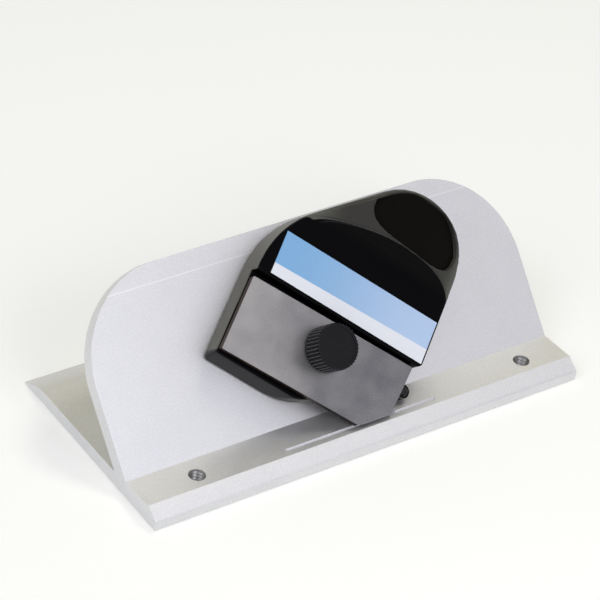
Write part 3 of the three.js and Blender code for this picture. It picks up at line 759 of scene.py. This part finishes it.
@dataclass
class BaseExtrusion(Piece):
    """The aluminium base, with its two holes opened for their threads."""

    setback_mm: float = -29.55
    holes_mm: Pair = (-66.1, 71.7)
    bore_mm: float = 3.0
    bore_sides: int = 48
    cutter_mm: float = 20.0
    crest_mm: float = 2.45
    root_mm: float = 3.06
    pitch_mm: float = 1.27
    ridge_share: float = 0.46
    start_mm: float = 0.62
    turns: int = 4
    turn_steps: int = 40
    step_reach_mm: float = 0.1
    step_span_mm: Pair = (-0.2, -0.05)

    def shape(self) -> bpy.types.Object:
        """Breaks the edges and opens the tapped holes to the thread's outer size.

        Returns:
            The new object.
        """
        piece = merged_copy(self.node)
        self.close_step(piece)
        self.break_edges(piece)
        for along in self.holes_mm:
            pick_only(piece)
            bpy.ops.mesh.primitive_cylinder_add(
                vertices=self.bore_sides, radius=self.bore_mm * MM, depth=self.cutter_mm * MM,
                location=(along * MM, self.setback_mm * MM, 0))
            carve(piece, bpy.context.active_object)
        return piece

    def close_step(self, piece: bpy.types.Object) -> None:
        """Closes the fin's shallow step, whose short edges would hold every bevel back.

        Args:
            piece: The merged base.
        """
        back = FIN.inverted()
        low, high = self.step_span_mm
        for vertex in piece.data.vertices:
            spot = back @ vertex.co / MM
            if abs(spot.y - FIN_STEP_MM) < self.step_reach_mm and low < spot.z < high:
                vertex.co = FIN @ (Vector((spot.x, spot.y, 0)) * MM)
        select_vertices(piece, lambda place: True)
        bpy.ops.mesh.remove_doubles(threshold=MERGE_DISTANCE)
        close_edit()

    def make_threads(self) -> None:
        """Models the thread in each tapped hole."""
        for number, along in enumerate(self.holes_mm, 1):
            self.make_thread(f"tapped_thread_{number}", along)

    def make_thread(self, name: str, along: float) -> None:
        """Models one thread as a helical ridge, turned from a triangle.

        Args:
            name: The thread's name.
            along: Its hole's place along the base, in millimetres.
        """
        bpy.ops.object.select_all(action="DESELECT")
        bpy.ops.mesh.primitive_circle_add(vertices=3, radius=MM, location=(0, 0, 0))
        ridge = bpy.context.active_object
        ridge.name = name
        width = self.pitch_mm * self.ridge_share
        corners = ((self.crest_mm, 0), (self.root_mm, width), (self.root_mm, -width))
        for vertex, (out, up) in zip(ridge.data.vertices, corners):
            vertex.co = Vector((out, 0, up + self.start_mm)) * MM
        apply_modifier(ridge, "SCREW", axis="Z", screw_offset=self.pitch_mm * MM,
                       steps=self.turn_steps, render_steps=self.turn_steps, iterations=self.turns)
        select_vertices(ridge, lambda place: True)
        bpy.ops.mesh.remove_doubles(threshold=MERGE_DISTANCE)
        bpy.ops.mesh.select_all(action="DESELECT")
        bpy.ops.mesh.select_non_manifold()
        bpy.ops.mesh.fill_holes(sides=0)
        close_edit()
        ridge.location = Vector((along, self.setback_mm, 0)) * MM
        settle(ridge)
        ridge.data.materials.append(THREAD.build())
        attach(ridge, self.body.value)
        LOG.info("%s: %d faces", ridge.name, len(ridge.data.polygons))


@dataclass
class HeadShell(Piece):
    """The moulded head, with soft rims on its walls and crisp rims round the scoop and the dish."""

    voxel_mm: float = 0.45
    smoothing: float = 0.5
    crisp_steps: int = 2
    soft_steps: int = 14
    kept_share: float = 0.42
    soft_from_mm: float = 9.5
    crisp_reach_mm: float = 1.2
    scoop_mm: float = 9.5
    dish_middle_mm: Pair = (-8.5, 31.0)
    dish_half_mm: Pair = (18.65, 9.75)
    dish_turn: float = -3.4
    dish_power: float = 3.2
    channel_low_mm: Spot = (-49.95, -39.65, 7.75)
    channel_high_mm: Spot = (15.0, -26.35, 9.0)

    def shape(self) -> bpy.types.Object:
        """Rounds every rim, least at the scoop and the dish, and cuts the blade's channel square.

        Returns:
            The new object.
        """
        shell = merged_copy(self.node)
        shell.data.transform(HEAD.inverted())
        apply_modifier(shell, "REMESH", mode="VOXEL", voxel_size=self.voxel_mm * MM,
                       use_smooth_shade=True)
        apply_modifier(shell, "SMOOTH", factor=self.smoothing, iterations=self.crisp_steps)
        soft = shell.vertex_groups.new(name="soft")
        outer = [vertex.index for vertex in shell.data.vertices if self.is_soft(vertex.co)]
        soft.add(outer, 1.0, "REPLACE")
        apply_modifier(shell, "SMOOTH", factor=self.smoothing, iterations=self.soft_steps,
                       vertex_group="soft")
        shell.vertex_groups.clear()
        apply_modifier(shell, "DECIMATE", ratio=self.kept_share)
        low, high = Vector(self.channel_low_mm), Vector(self.channel_high_mm)
        bpy.ops.object.select_all(action="DESELECT")
        bpy.ops.mesh.primitive_cube_add(size=1, location=(low + high) / 2 * MM,
                                        scale=(high - low) * MM)
        carve(shell, bpy.context.active_object)
        shell.data.transform(HEAD)
        return shell

    def is_soft(self, place: Vector) -> bool:
        """Says whether a place is on the outer rims that are rounder.

        Args:
            place: A point in the head's frame, in metres.

        Returns:
            True on the front, away from the rims of the scoop and the dish.
        """
        point = place / MM
        over = max(point.y - SCOOP_CREASE_MM, 0)
        rim = abs(math.hypot(over, point.z - SCOOP_AXIS_MM) - self.scoop_mm)
        turn = math.radians(self.dish_turn)
        x, y = point.x - self.dish_middle_mm[0], point.y - self.dish_middle_mm[1]
        along = (x * math.cos(turn) + y * math.sin(turn)) / self.dish_half_mm[0]
        beside = (y * math.cos(turn) - x * math.sin(turn)) / self.dish_half_mm[1]
        power = self.dish_power
        ring = (abs(along) ** power + abs(beside) ** power) ** (1 / power)
        edge = abs(ring - 1) * self.dish_half_mm[1]
        return point.z > self.soft_from_mm and min(rim, edge) > self.crisp_reach_mm


@dataclass
class Knob(Piece):
    """The knurled clamp knob, with a turned hollow in its face and a centre mark."""

    top_mm: float = 19.8
    face_mm: float = 6.7
    face_sides: int = 96
    cutter_mm: float = 2.0
    dish_mm: float = 0.16
    mark_mm: float = 0.6
    mark_sides: int = 32

    def shape(self) -> bpy.types.Object:
        """Turns the face down inside its rim and drills the centre mark.

        Returns:
            The new object.
        """
        knob = super().shape()
        bpy.ops.object.select_all(action="DESELECT")
        bpy.ops.mesh.primitive_cylinder_add(vertices=self.face_sides, radius=self.face_mm * MM,
                                            depth=self.cutter_mm * MM)
        self.cut_from(knob, self.top_mm - self.dish_mm + self.cutter_mm / 2)
        bpy.ops.object.select_all(action="DESELECT")
        bpy.ops.mesh.primitive_cone_add(vertices=self.mark_sides, radius1=0,
                                        radius2=2 * self.mark_mm * MM, depth=2 * self.mark_mm * MM)
        self.cut_from(knob, self.top_mm - self.dish_mm + self.mark_mm / 2)
        return knob

    def cut_from(self, knob: bpy.types.Object, height_mm: float) -> None:
        """Carves the new shape out of the knob, at a height on the knob's axis.

        Args:
            knob: The knob.
            height_mm: The height of the shape's middle over the fin, in millimetres.
        """
        cutter = bpy.context.active_object
        cutter.matrix_world = KNOB @ Matrix.Translation((0, 0, height_mm * MM))
        carve(knob, cutter)


@dataclass
class Blade(Piece):
    """The blade, ground to an edge along its lower side."""

    low_mm: float = -39.3
    low_reach_mm: float = 0.05
    grind_mm: float = 1.8
    middle_mm: float = 8.3
    edge_share: float = 0.06

    def shape(self) -> bpy.types.Object:
        """Grinds the cutting edge.

        Returns:
            The new object.
        """
        blade = merged_copy(self.node)
        blade.data.transform(HEAD.inverted())
        select_vertices(blade, lambda place: True)
        bpy.ops.mesh.bisect(plane_co=(0, (self.low_mm + self.grind_mm) * MM, 0),
                            plane_no=(0, 1, 0))
        close_edit()
        select_vertices(blade, lambda place: place.y < (self.low_mm + self.low_reach_mm) * MM)
        bpy.ops.transform.resize(value=(1, 1, self.edge_share),
                                 center_override=(0, 0, self.middle_mm * MM))
        close_edit()
        blade.data.transform(HEAD)
        return blade


@dataclass(frozen=True)
class Lamp:
    """One soft square lamp that faces the cutter."""

    name: str
    place_m: Spot
    size_m: float
    power_w: float
    colour: int
    aim_m: Spot = (0.0, 0.0, 0.03)

    def hang(self) -> None:
        """Adds the lamp to the scene."""
        data = bpy.data.lights.new(self.name, "AREA")
        data.size = self.size_m
        data.energy = self.power_w
        data.color = to_linear(self.colour)[:3]
        lamp = bpy.data.objects.new(self.name, data)
        bpy.context.scene.collection.objects.link(lamp)
        lamp.location = self.place_m
        way = Vector(self.aim_m) - Vector(self.place_m)
        lamp.rotation_euler = way.to_track_quat("-Z", "Y").to_euler()


@dataclass
class Studio:
    """The pale floor, the soft light and the photograph's camera."""

    azimuth: float = -41.8
    elevation: float = 37.8
    roll: float = 10.8
    distance_mm: float = 1039.0
    focal_pixels: float = 3056.9
    shift_mm: Pair = (-6.8, 5.0)
    target_mm: Spot = (0.0, -0.65, 30.0)
    paper: int = 0xFAFAF5
    paper_lift: float = 0.155
    paper_roughness: float = 0.9
    paper_specular: float = 0.1
    floor_m: float = 6.0
    floor_drop_mm: float = 0.2
    front_wall: int = 0xCECED4
    back_wall: int = 0xCAC7AE
    back_wall_span: Pair = (-0.2, 0.5)
    ceiling_span: Pair = (0.05, 0.35)
    light: int = 0xF4F6FA
    light_strength: float = 0.46
    lamps: tuple[Lamp, ...] = (
        Lamp("key", (0.6, 0.1, 1.3), 0.4, 3.8, 0xFFFBEE),
        Lamp("left_fill", (-1.0, -0.1, 0.9), 0.9, 4.5, 0xF4F4FC),
        Lamp("front_fill", (-0.05, -0.5, 0.45), 0.3, 1.05, 0xF8F8FF),
    )

    def add_camera(self) -> None:
        """Adds the camera where the photograph was taken from."""
        turn, rise, roll = (math.radians(angle) for angle in (self.azimuth, self.elevation, self.roll))
        back = Vector((math.sin(turn) * math.cos(rise), -math.cos(turn) * math.cos(rise),
                       math.sin(rise)))
        level = Vector((0, 0, 1)).cross(back).normalized()
        high = back.cross(level)
        right = level * math.cos(roll) + high * math.sin(roll)
        up = high * math.cos(roll) - level * math.sin(roll)
        place = (Vector(self.target_mm) + back * self.distance_mm + right * self.shift_mm[0]
                 + up * self.shift_mm[1]) * MM
        data = bpy.data.cameras.new("camera")
        data.sensor_fit = "HORIZONTAL"
        data.lens = data.sensor_width * self.focal_pixels / IMAGE_PIXELS
        camera = bpy.data.objects.new("camera", data)
        bpy.context.scene.collection.objects.link(camera)
        camera.matrix_world = Matrix((
            (right.x, up.x, back.x, place.x),
            (right.y, up.y, back.y, place.y),
            (right.z, up.z, back.z, place.z),
            (0, 0, 0, 1),
        ))
        bpy.context.scene.camera = camera

    def add_seen(self, tree: Tree) -> Socket:
        """Tells the rays that show a backdrop from those that only carry its light.

        Args:
            tree: The node tree of the world or of a backdrop's material.

        Returns:
            One for camera, glossy and transmission rays, and zero for others.
        """
        rays = add_node(tree, "LightPath").node.outputs
        mirrored = add_node(tree, "Math", {0: rays["Is Glossy Ray"], 1: rays["Is Transmission Ray"]},
                            operation="MAXIMUM")
        return add_node(tree, "Math", {0: rays["Is Camera Ray"], 1: mirrored}, operation="MAXIMUM")

    def add_world(self) -> None:
        """Lights the scene from all sides and shows pale walls, warmer behind the cutter."""
        world = bpy.data.worlds.new("studio")
        bpy.context.scene.world = world
        world.use_nodes = True
        tree = world.node_tree
        tree.nodes.clear()
        way = add_node(tree, "TexCoord", output="Generated")
        _, y, z = add_node(tree, "SeparateXYZ", {0: way}).node.outputs
        behind = add_node(tree, "MapRange", {0: y, 1: self.back_wall_span[0],
                                             2: self.back_wall_span[1]}, **SMOOTH)
        above = add_node(tree, "MapRange", {0: z, 1: self.ceiling_span[0],
                                            2: self.ceiling_span[1]}, **SMOOTH)
        walls = add_node(tree, "Mix", {0: behind, 6: to_linear(self.front_wall),
                                       7: to_linear(self.back_wall)}, **COLOURS)
        room = add_node(tree, "Mix", {0: above, 6: to_linear(self.paper), 7: walls}, **COLOURS)
        light = add_node(tree, "Background", {"Color": to_linear(self.light),
                                              "Strength": self.light_strength})
        shown = add_node(tree, "Background", {"Color": room, "Strength": 1.0})
        chosen = add_node(tree, "MixShader", {0: self.add_seen(tree), 1: light, 2: shown})
        tree.links.new(chosen, tree.nodes.new("ShaderNodeOutputWorld").inputs["Surface"])

    def add_floor(self) -> None:
        """Adds the wide paper floor."""
        bpy.ops.object.select_all(action="DESELECT")
        bpy.ops.mesh.primitive_plane_add(size=self.floor_m, location=(0, 0, -self.floor_drop_mm * MM))
        floor = bpy.context.active_object
        floor.name = "paper_floor"
        material = bpy.data.materials.new("studio_paper")
        material.use_nodes = True
        tree = material.node_tree
        shader = tree.nodes["Principled BSDF"]
        shader.inputs["Base Color"].default_value = to_linear(self.paper)
        shader.inputs["Roughness"].default_value = self.paper_roughness
        shader.inputs["Specular IOR Level"].default_value = self.paper_specular
        shader.inputs["Emission Color"].default_value = to_linear(self.paper)
        lift = add_node(tree, "Math", {0: self.add_seen(tree), 1: self.paper_lift},
                        operation="MULTIPLY")
        tree.links.new(lift, shader.inputs["Emission Strength"])
        floor.data.materials.append(material)

    def make(self) -> None:
        """Builds the whole studio."""
        bpy.context.scene.view_settings.view_transform = "Standard"
        self.add_camera()
        self.add_world()
        self.add_floor()
        for lamp in self.lamps:
            lamp.hang()
        LOG.info("studio: camera, world, floor and %d lamps", len(self.lamps))


def main() -> None:
    """Builds the studio and every piece in order."""
    logging.basicConfig(level=logging.INFO, format="%(message)s")
    Studio().make()
    base = BaseExtrusion("base_extrusion", Body.BASE, ALUMINIUM, 0.2)
    base.make()
    base.make_threads()
    for piece in (
        HeadShell("head_shell", Body.HEAD, ABS, flat_faced=False),
        Knob("clamp_knob", Body.KNOB, OXIDE, 0.05),
        Blade("blade", Body.BLADE, BLADE),
        Piece("clamp_plate", Body.CLAMP_PLATE, PLATE, 0.5, 3),
        Piece("label", Body.HEAD, FILM, 0.06),
        Piece("thumb_pad", Body.HEAD, PAD, 0.1),
        Piece("clamp_stud", Body.KNOB, ZINC),
        Piece("clamp_insert", Body.HEAD, BRASS),
        Piece("pivot_insert", Body.HEAD, BRASS),
        Piece("pivot_bushing", Body.BASE, BRASS),
        Piece("pivot_screw", Body.HEAD, SCREW, 0.15),
        Piece("pivot_washer", Body.HEAD, ZINC),
        Piece("wave_washer", Body.HEAD, ZINC),
        Piece("friction_washer", Body.HEAD, NYLON),
        Piece("heel_stop_ring", Body.HEAD, RUBBER, 0.2),
        Piece("heel_stop_screw", Body.HEAD, SCREW, 0.1),
        *(Piece(f"glide_pad_{number}", Body.HEAD, NYLON, 0.2) for number in (1, 2, 3)),
    ):
        piece.make()


if __name__ == "__main__":
    main()
